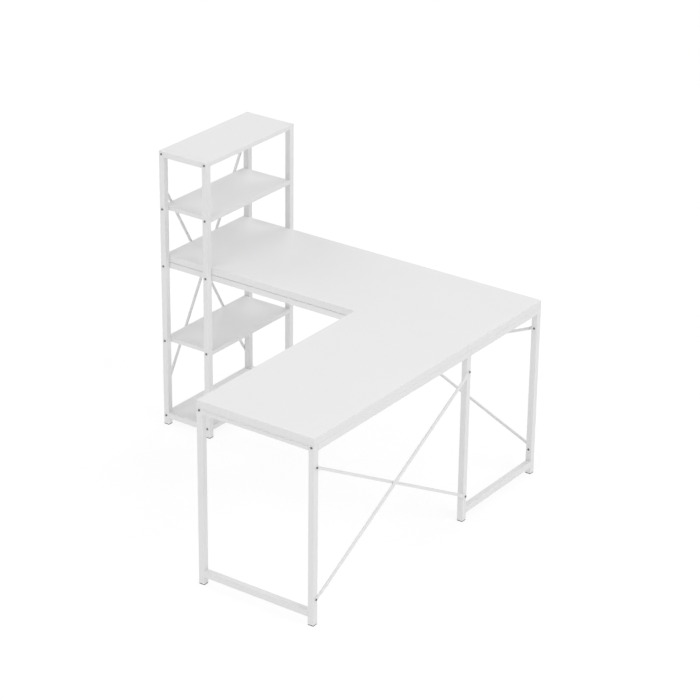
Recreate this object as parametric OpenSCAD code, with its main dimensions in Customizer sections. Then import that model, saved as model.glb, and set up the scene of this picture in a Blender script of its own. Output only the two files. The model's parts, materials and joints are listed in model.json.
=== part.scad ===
// Corner desk with an open shelf tower, white laminate boards on a white steel tube frame.
// X runs from the tower to the outer corner, Y from the free end of the return to the wall side.
// The origin is on the floor under the middle of the whole outline.

/* [Desk] */
// Overall width, from the outer side of the tower to the outer side of the return
desk_w = 1455; // [1355:5:1655]
// Depth of the main top, and of every shelf of the tower
main_depth = 520; // [420:5:620]
// Width of the top of the return
return_w = 520; // [420:5:620]
// Length of the return, from its free end to the front edge of the main top
return_len = 970; // [770:5:1170]
// Height of the work surface above the floor
desk_h = 750; // [710:5:780]
// Thickness of the two desk tops
top_t = 28; // [25:1:32]

/* [Tower] */
// Width of the tower
tower_w = 240; // [200:5:300]
// Height of the tower
tower_h = 1200; // [1100:5:1400]
// Thickness of the tower's shelves
shelf_t = 18; // [16:1:22]
// Height of the upper side of the shelf above the desk
upper_shelf_h = 963; // [900:1:1020]
// Height of the upper side of the shelf below the desk
lower_shelf_h = 387; // [300:1:480]
// Height of the upper side of the lowest shelf
bottom_shelf_h = 50; // [45:1:70]

/* [Steel tube] */
// Outer side of the square tube
tube = 25; // [24:1:28]
// Wall of every tube
tube_wall = 1.2; // [1:0.1:2]
// Outer corner radius of every tube
tube_r = 1.5; // [1:0.1:2]
// Height of the lower side of the bottom rails of the tower and of the side frame
bottom_rail_h = 30; // [26:1:60]
// Height of the lower side of the bottom rail of the return's end frame
end_bottom_rail_h = 33; // [26:1:60]
// Height of the flat rail under the free end of the return
end_rail_h = 15; // [12:1:16]

/* [Cross braces] */
// Diameter of the round brace tube
rod_d = 12; // [10:1:14]
// Wall of the round brace tube
rod_wall = 1; // [0.8:0.1:1.5]
// Thickness of its flattened stretches
flat_t = 3; // [2:0.5:3]
// Height of the lower bolts of the two desk braces
brace_low = 107; // [90:1:140]
// Height of the upper bolts of the two desk braces
brace_high = 635; // [560:1:660]
// Height of the lower bolts of the tower brace
tower_brace_low = 125; // [100:1:160]
// Height of the upper bolts of the tower brace
tower_brace_high = 1075; // [1000:1:1085]

/* [Fasteners] */
// Diameter of the frame bolts
bolt_d = 6; // [5:1:6]
// Diameter of a bolt's button head
head_d = 9; // [9:0.5:12]
// Height of a bolt's button head
head_h = 3; // [2.5:0.5:4]

/* [Levelling feet] */
// Side of the square foot pad
pad_w = 24.4; // [22:0.2:26]
// Thickness of the foot pad
pad_t = 3; // [2.5:0.5:6]
// Diameter of the foot's threaded stud
stud_d = 8; // [6:1:10]
// Length of the stud above the pad
stud_len = 30; // [26:1:36]

/* [Hidden] */
$fn = 48;
soft_gap = 0.3;
fit_gap = 0.1;
thread_gap = 0.05;
corner_r = 2;

// lines of the plan, measured from the tower's outer side and the return's free end
x_tower_right = tower_w - tube;
x_return = desk_w - return_w;
x_outer = desk_w - tube;
y_front = return_len;
y_back = return_len + main_depth;
y_tower_front = y_front - tube;

// heights
cap_t = 1.5;
cap_plug = 4;
rail_cap_plug = 5;
z_tube = pad_t + soft_gap;
z_leg_top = desk_h - top_t;
z_rail = z_leg_top - tube;
z_cap = tower_h - cap_t;
plug_len = 15;
rail_mid = z_rail + tube / 2;
low_shelf_mids = [for (top = [upper_shelf_h, lower_shelf_h, bottom_shelf_h]) top - shelf_t / 2];

// the top board's bolts are in the middle of the posts' top rails, not of the board
top_board_bolt_z = tower_h - tube / 2;
shelf_bolt_heights = concat([top_board_bolt_z], low_shelf_mids);

// the two main rails lie a foam strip's thickness below the tops
strip_t = 2;
strip_inset = 2;
z_main_rail = z_rail - strip_t;
main_rail_mid = z_main_rail + tube / 2;

// the bolts of the return's rails, and the T-shaped bar the free end of the return rests on
return_bolt_z = rail_mid + 3;
end_bar_t = 3;
end_gap = 5;
end_web_y = 1.5;
z_end_bar = z_leg_top - end_bar_t;
z_end_gap = z_end_bar - end_gap;

// braces: how far a rod's axis stands out from the face its ends are bolted to;
// the desk's rods stay round and pass each other, the tower's are pressed flat at their crossing
crossing_gap = 0.4;
outer_rod_out = flat_t;
inner_rod_out = outer_rod_out - rod_d - crossing_gap;
tower_rod_out = rod_d / 2 + 0.5;
rod_mid_shift = flat_t / 2;
flat_len = 22;
taper_len = 14;
taper_slice = 0.5;
flat_w = rod_d + 3;

// bolts
socket_d = 4.4;
socket_depth = 2;
insert_d = 9;
insert_len = 14;
post_bolt_len = tube + insert_len - 1;
rivet_len = 12;
rivet_d = 9;
nut_w = 10;
nut_t = 5;
screw_d = 4;
screw_head_d = 8;
screw_head_h = 2.4;
screw_len = tube + 15;
screw_inset = 120;
dowel_d = 8;
dowel_len = 40;
dowel_count = 4;
bracket_leg = 45;
bracket_h = 20;
bracket_t = 2.5;
bracket_bolt_len = bracket_t + rivet_len;

// where the eight legs stand, as the corner of each tube with the lowest X and Y
LEGS = [
    [0, y_tower_front], [x_tower_right, y_tower_front],
    [0, y_back], [x_tower_right, y_back],
    [x_return, 0], [x_outer, 0],
    [x_outer, y_front], [x_outer, y_back - tube]
];
FOOT_NAMES = [
    "tower_front_left_foot", "tower_front_right_foot",
    "tower_back_left_foot", "tower_back_right_foot",
    "return_inner_foot", "return_outer_foot",
    "middle_foot", "corner_foot"
];

// the whole outline, with the bolt heads and rods that stand out of it
x_low = -tower_rod_out - rod_d / 2;
x_high = desk_w + max(outer_rod_out + rod_d / 2, flat_t + head_h);
y_low = -head_h;
y_high = y_back + tube + head_h;
middle = [(x_low + x_high) / 2, (y_low + y_high) / 2, 0];

// ---------------------------------------------------------------- shapes

module rounded_outline(w, d, r) {
    square([w - 2 * r, d], center = true);
    square([w, d - 2 * r], center = true);
    for (sx = [-1, 1], sy = [-1, 1])
        translate([sx * (w / 2 - r), sy * (d / 2 - r)])
            circle(r);
}

// an upright hollow tube on the XY plane, with its lowest corner at the origin
module tube_up(len, w = tube, d = tube) {
    translate([w / 2, d / 2, 0])
        linear_extrude(len)
            difference() {
                rounded_outline(w, d, tube_r);
                square([w - 2 * tube_wall, d - 2 * tube_wall], center = true);
            }
}

// a tube along X, with its lowest corner at the origin
module tube_along_x(len, high = tube) {
    translate([0, 0, high])
        rotate([0, 90, 0])
            tube_up(len, high, tube);
}

// a tube along Y, with its lowest corner at the origin
module tube_along_y(len) {
    translate([0, len, 0])
        rotate([90, 0, 0])
            tube_up(len);
}

// a flat board with its lowest corner at the origin
module board(w, d, t) {
    translate([w / 2, d / 2, 0])
        linear_extrude(t)
            rounded_outline(w, d, corner_r);
}

// turn a shape that points along +Z towards another direction
module toward(direction) {
    turn = direction == "+x" ? [0, 90, 0]
        : direction == "-x" ? [0, -90, 0]
        : direction == "+y" ? [-90, 0, 0]
        : direction == "-y" ? [90, 0, 0]
        : [0, 0, 0];
    rotate(turn)
        children();
}

// a button head bolt: its head's seat at the origin, its shank along +Z
module bolt(len) {
    cylinder(h = len, d = bolt_d);
    difference() {
        rotate_extrude()
            polygon([
                [0, 0], [head_d / 2, 0], [head_d / 2, -0.3 * head_h],
                [0.39 * head_d, -0.78 * head_h], [0.27 * head_d, -head_h], [0, -head_h]
            ]);
        translate([0, 0, -head_h - 1])
            cylinder(h = socket_depth + 1, d = socket_d, $fn = 6);
    }
}

// a threaded sleeve: its mouth at the origin, its body along +Z
module sleeve(len, d) {
    difference() {
        cylinder(h = len, d = d);
        translate([0, 0, -1])
            cylinder(h = len + 2, d = bolt_d + 2 * thread_gap);
    }
}

// a hole for a sleeve or a bolt: its mouth at the origin, its depth along +Z
module hole(len, d) {
    translate([0, 0, -1])
        cylinder(h = len + 1, d = d);
}

// ------------------------------------------------- places that repeat

// where a bolt goes through a tower post into the end of a shelf
module at_shelf_bolts(heights = shelf_bolt_heights) {
    for (z = heights, x = [tube / 2, tower_w - tube / 2]) {
        translate([x, y_tower_front, z])
            toward("+y")
                children();
        translate([x, y_back + tube, z])
            toward("-y")
                children();
    }
}

// where a bolt goes through a leg or a rail into the end of a return rail
module at_return_rail_ends(z = return_bolt_z) {
    for (x = [x_return, x_outer]) {
        translate([x + tube / 2, 0, z])
            toward("+y")
                children();
        translate([x + tube / 2, y_front + tube, z])
            toward("-y")
                children();
    }
}

// where a wood screw goes up through a rail into a desk top
module at_top_screws() {
    for (x = [screw_inset, x_return / 2 + tower_w / 4, x_return - screw_inset / 2, x_outer - screw_inset])
        for (y = [y_front + tube / 2, y_back - tube / 2])
            translate([x, y, z_main_rail])
                children();
    for (x = [x_return + tube / 2, x_outer + tube / 2], y = [screw_inset, y_front / 2, y_front - screw_inset])
        translate([x, y, z_rail])
            children();
}

// where a dowel crosses the seam between the two desk tops
module at_dowels() {
    for (i = [1 : dowel_count])
        translate([x_return + i * return_w / (dowel_count + 1), y_front - dowel_len / 2, desk_h - top_t / 2])
            toward("+y")
                children();
}

// the four bolts of each brace, seen from the outside of the frame
module at_return_brace_bolts() {
    for (y = [tube / 2, y_front + tube / 2], z = [brace_low, brace_high])
        translate([desk_w, y, z])
            toward("-x")
                children();
}

module at_tower_brace_bolts() {
    for (y = [y_front - tube / 2, y_back + tube / 2], z = [tower_brace_low, tower_brace_high])
        translate([0, y, z])
            toward("+x")
                children();
}

// the back brace is bolted through the corner leg and through the tower's back right post
module at_corner_brace_bolts() {
    for (z = [brace_low, brace_high])
        translate([x_outer + tube / 2, y_back - tube, z])
            toward("+y")
                children();
}

module at_tower_back_brace_bolts() {
    for (z = [brace_low, brace_high])
        translate([x_tower_right + tube / 2, y_back + tube, z])
            toward("-y")
                children();
}

// the two inner corners where a main rail meets the side frame
module at_bracket_corners() {
    translate([x_outer, y_front + tube, rail_mid])
        children();
    translate([x_outer, y_back - tube, rail_mid])
        mirror([0, 1, 0])
            children();
}

// the bolts of one bracket, one along each of its two legs
module at_bracket_bolts() {
    reach = bracket_leg * 0.62;
    at_bracket_corners() {
        translate([-reach, bracket_t, 0])
            toward("-y")
                children();
        translate([-bracket_t, reach, 0])
            toward("+x")
                children();
    }
}

// ---------------------------------------------------------------- boards

module main_top() {
    color("white")
        difference() {
            translate([0, y_front, desk_h - top_t])
                board(desk_w, main_depth, top_t);
            at_dowels()
                hole(dowel_len + fit_gap, dowel_d + 2 * fit_gap);
            at_top_screws()
                hole(screw_len + fit_gap, screw_d);
        }
}

module return_top() {
    color("white")
        difference() {
            translate([x_return, 0, desk_h - top_t])
                board(return_w, return_len, top_t);
            at_dowels()
                translate([0, 0, -fit_gap])
                    hole(dowel_len + fit_gap, dowel_d + 2 * fit_gap);
            at_top_screws()
                hole(screw_len + fit_gap, screw_d);
        }
}

module top_dowels() {
    color("burlywood")
        at_dowels()
            cylinder(h = dowel_len, d = dowel_d);
}

module shelf(top, bolt_z) {
    color("white")
        difference() {
            translate([0, y_front, top - shelf_t])
                board(tower_w, main_depth, shelf_t);
            at_shelf_bolts([bolt_z])
                translate([0, 0, tube])
                    hole(insert_len + fit_gap, insert_d + 2 * fit_gap);
        }
}

module tower_top_board() {
    shelf(tower_h, top_board_bolt_z);
}

module upper_shelf() {
    shelf(upper_shelf_h, low_shelf_mids[0]);
}

module lower_shelf() {
    shelf(lower_shelf_h, low_shelf_mids[1]);
}

module bottom_shelf() {
    shelf(bottom_shelf_h, low_shelf_mids[2]);
}

// ---------------------------------------------------------------- tower frame

module tower_post(place) {
    color("white")
        difference() {
            translate([place.x, place.y, z_tube])
                tube_up(z_cap - z_tube);
            at_shelf_bolts(concat(shelf_bolt_heights, [main_rail_mid]))
                hole(tube, bolt_d + 2 * fit_gap);
            at_tower_brace_bolts()
                hole(tube / 2, rivet_d);
            at_tower_back_brace_bolts()
                hole(tube, bolt_d + 2 * fit_gap);
        }
}

module tower_front_left_post() {
    tower_post(LEGS[0]);
}

module tower_front_right_post() {
    tower_post(LEGS[1]);
}

module tower_back_left_post() {
    tower_post(LEGS[2]);
}

module tower_back_right_post() {
    tower_post(LEGS[3]);
}

module tower_rail(y, z) {
    color("white")
        translate([tube, y, z])
            tube_along_x(tower_w - 2 * tube);
}

module tower_front_top_rail() {
    tower_rail(y_tower_front, tower_h - tube);
}

module tower_front_bottom_rail() {
    tower_rail(y_tower_front, bottom_rail_h);
}

module tower_back_top_rail() {
    tower_rail(y_back, tower_h - tube);
}

module tower_back_bottom_rail() {
    tower_rail(y_back, bottom_rail_h);
}

// white plastic caps that close the four posts flush with the top
module tower_post_caps() {
    inner = tube - 2 * tube_wall - 2 * fit_gap;
    color("white")
        for (i = [0 : 3])
            translate([LEGS[i].x + tube / 2, LEGS[i].y + tube / 2, 0]) {
                translate([0, 0, z_cap])
                    linear_extrude(tower_h - z_cap)
                        rounded_outline(tube, tube, tube_r);
                translate([-inner / 2, -inner / 2, z_cap - cap_plug])
                    cube([inner, inner, cap_plug]);
            }
}

// ---------------------------------------------------------------- desk frame

module main_rail(y) {
    color("white")
        difference() {
            translate([cap_t, y, z_main_rail])
                tube_along_x(x_outer - cap_t);
            at_shelf_bolts([main_rail_mid])
                translate([0, 0, tube])
                    hole(tube / 2, rivet_d);
            at_return_rail_ends()
                hole(tube, bolt_d + 2 * fit_gap);
            at_bracket_bolts()
                hole(tube / 2, rivet_d);
            at_top_screws()
                hole(tube + 1, screw_d + 2 * fit_gap);
        }
}

module main_front_rail() {
    main_rail(y_front);
}

module main_back_rail() {
    main_rail(y_back - tube);
}

// white plastic caps in the open ends of the two main rails
module main_rail_caps() {
    inner = tube - 2 * tube_wall - 2 * fit_gap;
    color("white")
        for (y = [y_front, y_back - tube])
            translate([0, y + tube / 2, main_rail_mid]) {
                rotate([0, 90, 0])
                    linear_extrude(cap_t)
                        rounded_outline(tube, tube, tube_r);
                translate([cap_t, -inner / 2, -inner / 2])
                    cube([rail_cap_plug, inner, inner]);
            }
}

// thin foam strips between the two main rails and the main top
module main_rail_strips() {
    color("gray")
        difference() {
            for (y = [y_front, y_back - tube])
                translate([tube, y + strip_inset, z_main_rail + tube])
                    cube([x_outer - tube, tube - 2 * strip_inset, strip_t]);
            at_top_screws()
                hole(screw_len, screw_d + 2 * fit_gap);
        }
}

module side_rail(z) {
    color("white")
        difference() {
            translate([x_outer, y_front + tube, z])
                tube_along_y(main_depth - 2 * tube);
            at_bracket_bolts()
                hole(tube / 2, rivet_d);
        }
}

module side_top_rail() {
    side_rail(z_rail);
}

module side_bottom_rail() {
    side_rail(bottom_rail_h);
}

module desk_leg(place) {
    color("white")
        difference() {
            translate([place.x, place.y, z_tube])
                tube_up(z_leg_top - z_tube);
            at_return_rail_ends()
                hole(tube, bolt_d + 2 * fit_gap);
            at_return_brace_bolts()
                hole(tube / 2, rivet_d);
            at_corner_brace_bolts()
                hole(tube + 1, bolt_d + 2 * fit_gap);
        }
}

module end_inner_leg() {
    desk_leg(LEGS[4]);
}

module end_outer_leg() {
    desk_leg(LEGS[5]);
}

module middle_leg() {
    desk_leg(LEGS[6]);
}

module corner_leg() {
    desk_leg(LEGS[7]);
}

module return_rail(x) {
    color("white")
        difference() {
            translate([x, tube, z_rail])
                tube_along_y(return_len - tube);
            at_top_screws()
                hole(tube + 1, screw_d + 2 * fit_gap);
        }
}

module return_inner_rail() {
    return_rail(x_return);
}

module return_outer_rail() {
    return_rail(x_outer);
}

// a T-shaped bar between the tops of the two end legs: its flange is right under the end of
// the return's top and its web stands on the rail below
module end_top_bar() {
    length = return_w - 2 * tube;
    color("white")
        translate([x_return + tube, 0, 0]) {
            translate([0, 0, z_end_bar])
                cube([length, tube, end_bar_t]);
            translate([0, end_web_y, z_end_gap])
                cube([length, end_bar_t, end_gap]);
        }
}

module end_top_rail() {
    color("white")
        translate([x_return + tube, 0, z_end_gap - end_rail_h])
            tube_along_x(return_w - 2 * tube, end_rail_h);
}

module end_bottom_rail() {
    color("white")
        translate([x_return + tube, 0, end_bottom_rail_h])
            tube_along_x(return_w - 2 * tube);
}

// ---------------------------------------------------------------- cross braces

// a flattened stretch of the rod along +Z, shifted out of the rod's axis along +Y
module flat_stretch(from, to, shift, hole_at) {
    difference() {
        translate([-flat_w / 2, shift - flat_t / 2, from])
            cube([flat_w, flat_t, to - from]);
        translate([0, shift - flat_t, hole_at])
            rotate([-90, 0, 0])
                cylinder(h = 2 * flat_t, d = bolt_d + 2 * fit_gap);
    }
}

// the rounded end of a flattened stretch
module flat_end(at, shift) {
    difference() {
        translate([0, shift - flat_t / 2, at])
            rotate([-90, 0, 0])
                cylinder(h = flat_t, d = flat_w);
        translate([0, shift - flat_t, at])
            rotate([-90, 0, 0])
                cylinder(h = 2 * flat_t, d = bolt_d + 2 * fit_gap);
    }
}

// the round rod pressed down to the flat, from height `round_z` to height `flat_z`;
// each end reaches half a slice into its neighbour
module taper(round_z, flat_z, shift) {
    hull() {
        translate([0, 0, round_z - taper_slice / 2])
            cylinder(h = taper_slice, d = rod_d, $fn = 32);
        translate([-flat_w / 2, shift - flat_t / 2, flat_z - taper_slice / 2])
            cube([flat_w, flat_t, taper_slice]);
    }
}

// a length of the round tube along +Z
module round_tube(len) {
    difference() {
        cylinder(h = len, d = rod_d);
        translate([0, 0, -1])
            cylinder(h = len + 2, d = rod_d - 2 * rod_wall);
    }
}

// the flat end of a rod, from its bolt at the origin up to where it turns round
module rod_end(shift) {
    flat_end(0, shift);
    flat_stretch(0, flat_len, shift, 0);
    taper(flat_len + taper_len, flat_len, shift);
}

// the same shape at both ends of a rod of length `len`
module at_far_end(len) {
    translate([0, 0, len])
        mirror([0, 0, 1])
            children();
}

// a rod along +Z between its end bolts, round in between; the shifts are along +Y
module plain_rod(len, start_shift, end_shift) {
    inner = flat_len + taper_len;
    rod_end(start_shift);
    translate([0, 0, inner])
        round_tube(len - 2 * inner);
    at_far_end(len)
        rod_end(end_shift);
}

// the same, but pressed flat at its middle too
module pressed_rod(len, end_shift, mid_shift) {
    half = len / 2;
    inner = flat_len + taper_len;
    rod_end(end_shift);
    translate([0, 0, inner])
        round_tube(half - 2 * inner);
    taper(half - inner, half - flat_len, mid_shift);
    flat_stretch(half - flat_len, half + flat_len, mid_shift, half);
    taper(half + inner, half + flat_len, mid_shift);
    translate([0, 0, half + inner])
        round_tube(half - 2 * inner);
    at_far_end(len)
        rod_end(end_shift);
}

// stand a rod along +Z up in a plane along Y and Z, over the run and the rise of its two ends
module in_yz(x, y, z, run, rise) {
    translate([x, y, z])
        rotate([-atan2(run, rise), 0, 0])
            rotate([0, 0, -90])
                children();
}

// the same in a plane along X and Z
module in_xz(x, y, z, run, rise) {
    translate([x, y, z])
        rotate([0, atan2(run, rise), 0])
            children();
}

tower_flat_shift = flat_t / 2 - tower_rod_out;
desk_rise = brace_high - brace_low;
tower_rise = tower_brace_high - tower_brace_low;
tower_run = main_depth + tube;
back_run = x_outer - x_tower_right;

module return_brace(out, z, rise) {
    color("white")
        in_yz(desk_w + out, tube / 2, z, y_front, rise)
            plain_rod(norm([y_front, rise]), flat_t / 2 - out, flat_t / 2 - out);
}

module return_brace_outer() {
    return_brace(outer_rod_out, brace_low, desk_rise);
}

module return_brace_inner() {
    return_brace(inner_rod_out, brace_high, -desk_rise);
}

module tower_brace(z, rise, mid_shift) {
    color("white")
        in_yz(-tower_rod_out, y_tower_front + tube / 2, z, tower_run, rise)
            pressed_rod(norm([tower_run, rise]), -tower_flat_shift, -mid_shift);
}

module tower_brace_outer() {
    tower_brace(tower_brace_low, tower_rise, rod_mid_shift);
}

module tower_brace_inner() {
    tower_brace(tower_brace_high, -tower_rise, -rod_mid_shift);
}

// bolted to the front of the tower's back post and to the back of the corner leg
module back_brace(out, z, rise) {
    color("white")
        in_xz(x_tower_right + tube / 2, y_back + out, z, back_run, rise)
            plain_rod(norm([back_run, rise]), -flat_t / 2 - out, flat_t / 2 - out);
}

module back_brace_outer() {
    back_brace(outer_rod_out, brace_high, -desk_rise);
}

module back_brace_inner() {
    back_brace(inner_rod_out, brace_low, desk_rise);
}

// ---------------------------------------------------------------- fasteners

module shelf_bolts() {
    color([0.12, 0.12, 0.13])
        at_shelf_bolts()
            bolt(post_bolt_len);
}

module shelf_inserts() {
    color("goldenrod")
        at_shelf_bolts()
            translate([0, 0, tube])
                sleeve(insert_len, insert_d);
}

module tower_desk_bolts() {
    color([0.12, 0.12, 0.13])
        at_shelf_bolts([main_rail_mid])
            bolt(tube + rivet_len - 1);
}

module return_rail_bolts() {
    color([0.12, 0.12, 0.13])
        at_return_rail_ends()
            bolt(tube + insert_len);
}

// plastic plugs with a threaded sleeve in the ends of the return's rails
module return_rail_plugs() {
    inner = tube - 2 * tube_wall - 2 * fit_gap;
    color("dimgray")
        difference() {
            at_return_rail_ends(rail_mid)
                translate([-inner / 2, -inner / 2, tube])
                    cube([inner, inner, plug_len]);
            at_return_rail_ends()
                translate([0, 0, tube])
                    hole(plug_len + 1, bolt_d + 2 * thread_gap);
        }
}

// threaded rivet nuts behind one wall of a tube
module rivet_nuts() {
    color("silver") {
        at_shelf_bolts([main_rail_mid])
            translate([0, 0, tube])
                sleeve(rivet_len, rivet_d - 2 * fit_gap);
        at_return_brace_bolts()
            sleeve(rivet_len, rivet_d - 2 * fit_gap);
        at_tower_brace_bolts()
            sleeve(rivet_len, rivet_d - 2 * fit_gap);
        at_bracket_bolts()
            translate([0, 0, bracket_t])
                sleeve(rivet_len, rivet_d - 2 * fit_gap);
    }
}

// steel angles under the tops that tie each main rail to the side frame
module corner_brackets() {
    color("white")
        difference() {
            at_bracket_corners()
                translate([0, 0, -bracket_h / 2]) {
                    translate([-bracket_leg, 0, 0])
                        cube([bracket_leg, bracket_t, bracket_h]);
                    translate([-bracket_t, 0, 0])
                        cube([bracket_t, bracket_leg, bracket_h]);
                }
            at_bracket_bolts()
                hole(bracket_t + 1, bolt_d + 2 * fit_gap);
        }
}

module bracket_bolts() {
    color([0.12, 0.12, 0.13])
        at_bracket_bolts()
            bolt(bracket_bolt_len);
}

// bolts of the four corners of each brace, and of the tower brace's crossing
module brace_bolts() {
    color([0.12, 0.12, 0.13]) {
        at_return_brace_bolts()
            translate([0, 0, -flat_t])
                bolt(flat_t + rivet_len);
        at_tower_brace_bolts()
            translate([0, 0, -flat_t])
                bolt(flat_t + rivet_len);
        at_corner_brace_bolts()
            bolt(tube + flat_t + nut_t + 1);
        at_tower_back_brace_bolts()
            bolt(tube + flat_t + nut_t + 1);
        at_tower_crossing()
            bolt(2 * flat_t + nut_t + 1);
    }
}

// the outer face of the tower brace's crossing, pointing into the frame
module at_tower_crossing() {
    translate([-tower_rod_out - flat_t, (y_front + y_back) / 2, (tower_brace_low + tower_brace_high) / 2])
        toward("+x")
            children();
}

module nut() {
    difference() {
        cylinder(h = nut_t, d = nut_w / cos(30), $fn = 6);
        translate([0, 0, -1])
            cylinder(h = nut_t + 2, d = bolt_d + 2 * thread_gap);
    }
}

module brace_nuts() {
    color([0.12, 0.12, 0.13]) {
        at_corner_brace_bolts()
            translate([0, 0, tube + flat_t])
                nut();
        at_tower_back_brace_bolts()
            translate([0, 0, tube + flat_t])
                nut();
        at_tower_crossing()
            translate([0, 0, 2 * flat_t])
                nut();
    }
}

// wood screws from below, through both walls of a rail
module top_screws() {
    color("silver")
        at_top_screws() {
            cylinder(h = screw_len, d = screw_d - 2 * thread_gap);
            translate([0, 0, -screw_head_h])
                cylinder(h = screw_head_h, d1 = 0.6 * screw_head_d, d2 = screw_head_d);
        }
}

// ---------------------------------------------------------------- feet

// square plugs with a threaded bore, flush with the lower end of each leg
module leg_plugs() {
    inner = tube - 2 * tube_wall - 2 * fit_gap;
    color([0.1, 0.1, 0.11])
        for (leg = LEGS)
            translate([leg.x + tube / 2, leg.y + tube / 2, z_tube])
                difference() {
                    translate([-inner / 2, -inner / 2, 0])
                        cube([inner, inner, plug_len]);
                    translate([0, 0, -1])
                        cylinder(h = plug_len + 2, d = stud_d + 2 * thread_gap);
                }
}

module levelling_foot(leg) {
    color([0.1, 0.1, 0.11])
        translate([leg.x + tube / 2, leg.y + tube / 2, 0]) {
            linear_extrude(pad_t)
                rounded_outline(pad_w, pad_w, corner_r);
            translate([0, 0, pad_t])
                cylinder(h = stud_len, d = stud_d);
        }
}

// ---------------------------------------------------------------- the whole desk

translate(-middle) {
    main_top();
    return_top();
    top_dowels();
    tower_top_board();
    upper_shelf();
    lower_shelf();
    bottom_shelf();
    tower_front_left_post();
    tower_front_right_post();
    tower_back_left_post();
    tower_back_right_post();
    tower_front_top_rail();
    tower_front_bottom_rail();
    tower_back_top_rail();
    tower_back_bottom_rail();
    tower_post_caps();
    main_front_rail();
    main_back_rail();
    main_rail_caps();
    main_rail_strips();
    side_top_rail();
    side_bottom_rail();
    middle_leg();
    corner_leg();
    return_inner_rail();
    return_outer_rail();
    end_inner_leg();
    end_outer_leg();
    end_top_bar();
    end_top_rail();
    end_bottom_rail();
    return_brace_outer();
    return_brace_inner();
    back_brace_outer();
    back_brace_inner();
    tower_brace_outer();
    tower_brace_inner();
    shelf_bolts();
    shelf_inserts();
    tower_desk_bolts();
    return_rail_bolts();
    return_rail_plugs();
    rivet_nuts();
    corner_brackets();
    bracket_bolts();
    brace_bolts();
    brace_nuts();
    top_screws();
    leg_plugs();
    for (i = [0 : len(FOOT_NAMES) - 1])
        levelling_foot(LEGS[i]);
}
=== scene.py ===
import json
import math
import random

import bmesh
import bpy
from mathutils import Matrix, Vector


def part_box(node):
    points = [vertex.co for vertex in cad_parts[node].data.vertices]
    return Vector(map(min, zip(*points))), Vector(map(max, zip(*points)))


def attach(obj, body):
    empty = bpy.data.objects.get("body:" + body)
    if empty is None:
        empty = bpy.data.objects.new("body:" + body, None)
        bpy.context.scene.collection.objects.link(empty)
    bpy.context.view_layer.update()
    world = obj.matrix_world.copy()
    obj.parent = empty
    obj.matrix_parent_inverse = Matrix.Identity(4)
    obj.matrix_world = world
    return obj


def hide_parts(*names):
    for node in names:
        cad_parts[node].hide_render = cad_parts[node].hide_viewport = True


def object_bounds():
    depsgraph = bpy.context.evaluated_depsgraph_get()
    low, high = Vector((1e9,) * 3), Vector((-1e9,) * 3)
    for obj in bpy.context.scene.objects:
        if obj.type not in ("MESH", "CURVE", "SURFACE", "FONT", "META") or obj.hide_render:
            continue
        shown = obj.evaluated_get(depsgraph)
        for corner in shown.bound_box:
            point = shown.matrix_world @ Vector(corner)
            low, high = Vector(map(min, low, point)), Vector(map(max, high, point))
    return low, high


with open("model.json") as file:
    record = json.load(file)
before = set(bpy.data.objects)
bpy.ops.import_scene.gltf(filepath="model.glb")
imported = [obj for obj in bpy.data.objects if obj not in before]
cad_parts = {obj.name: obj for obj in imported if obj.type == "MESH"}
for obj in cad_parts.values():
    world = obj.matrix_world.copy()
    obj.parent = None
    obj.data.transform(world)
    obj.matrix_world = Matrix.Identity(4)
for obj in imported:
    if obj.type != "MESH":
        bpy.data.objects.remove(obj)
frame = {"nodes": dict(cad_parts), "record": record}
cad_low, cad_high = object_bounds()
random.seed(11)

X, Y, Z = Vector((1, 0, 0)), Vector((0, 1, 0)), Vector((0, 0, 1))
FEET = [n for n in frame["nodes"] if n.endswith("_foot")]


# ---------------------------------------------------------------- materials

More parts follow.
